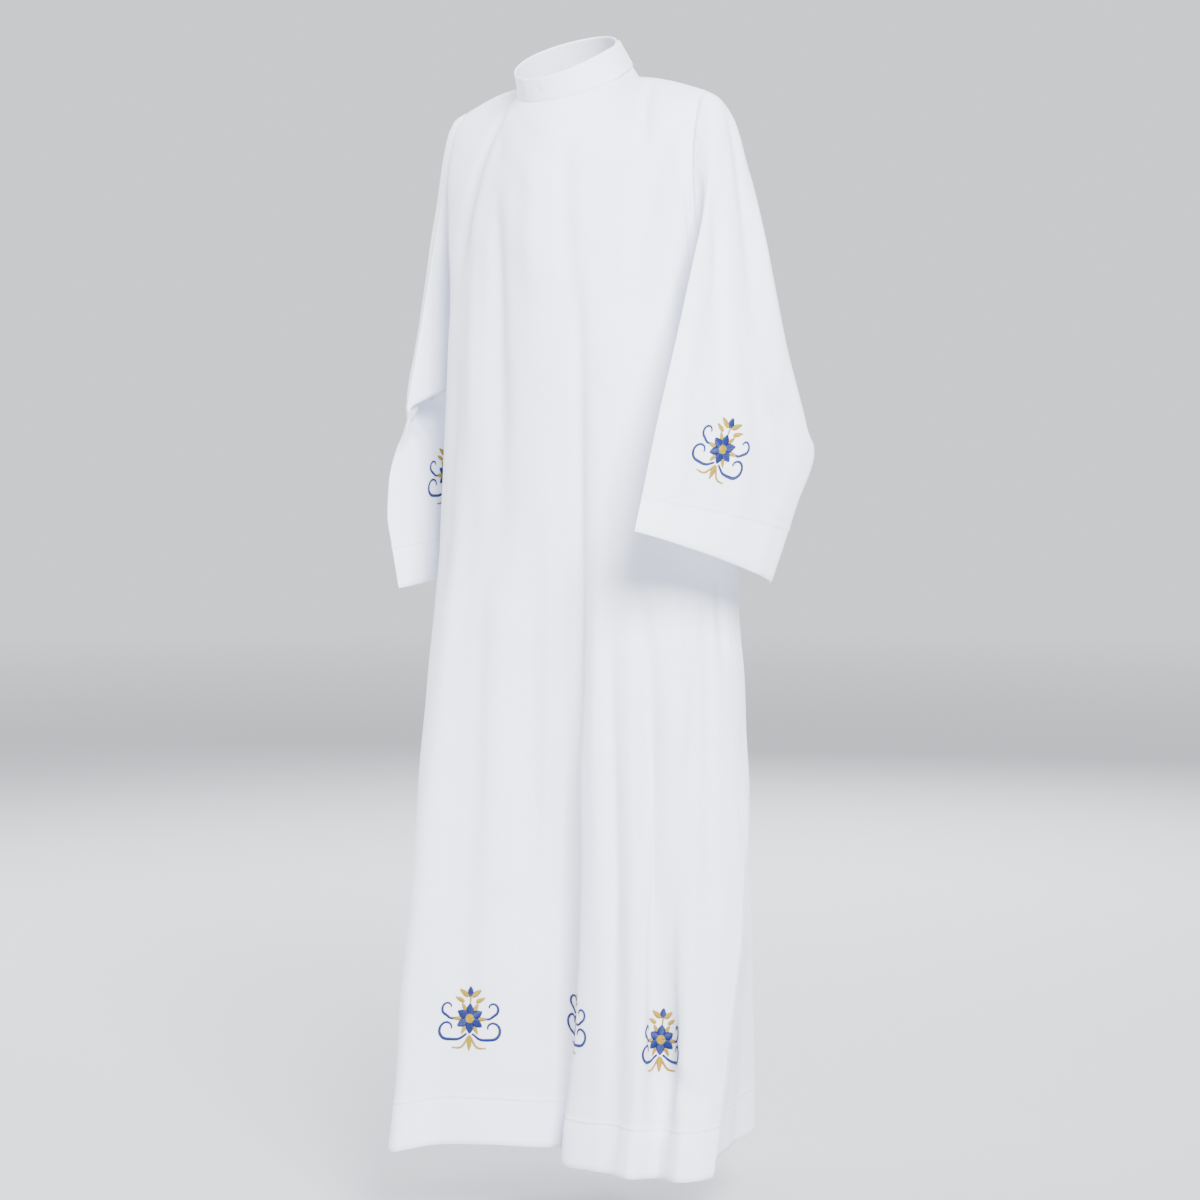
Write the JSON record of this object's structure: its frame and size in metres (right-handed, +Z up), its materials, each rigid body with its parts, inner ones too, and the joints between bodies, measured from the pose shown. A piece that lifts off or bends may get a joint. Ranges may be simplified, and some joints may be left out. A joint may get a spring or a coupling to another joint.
{
  "type": "alb robe",
  "caption": "Full-length white alb robe in its worn, hollow form, with a stand collar, wide open sleeves, side slits, turned-up hems and soft vertical folds.",
  "frame": {"origin": "the middle of the neck seam, level with the neck points of the shoulder seams, where the robe hangs from the wearer", "axes": "+Z up, -Y the way the wearer faces, +X the wearer's left"},
  "size_m": [0.6357, 0.4783, 1.5022],
  "materials": {
    "front": "matte plain weave, with a small blue and gold embroidery along the hem",
    "back": "matte plain weave",
    "left_sleeve": "matte plain weave, with one small embroidery above the hem",
    "right_sleeve": "matte plain weave, with one small embroidery above the hem",
    "collar": "matte plain weave, stiffened"
  },
  "bodies": {
    "root": {"front": "front", "back": "back", "left_sleeve": "left_sleeve", "right_sleeve": "right_sleeve", "collar": "collar"}
  },
  "joints": []
}
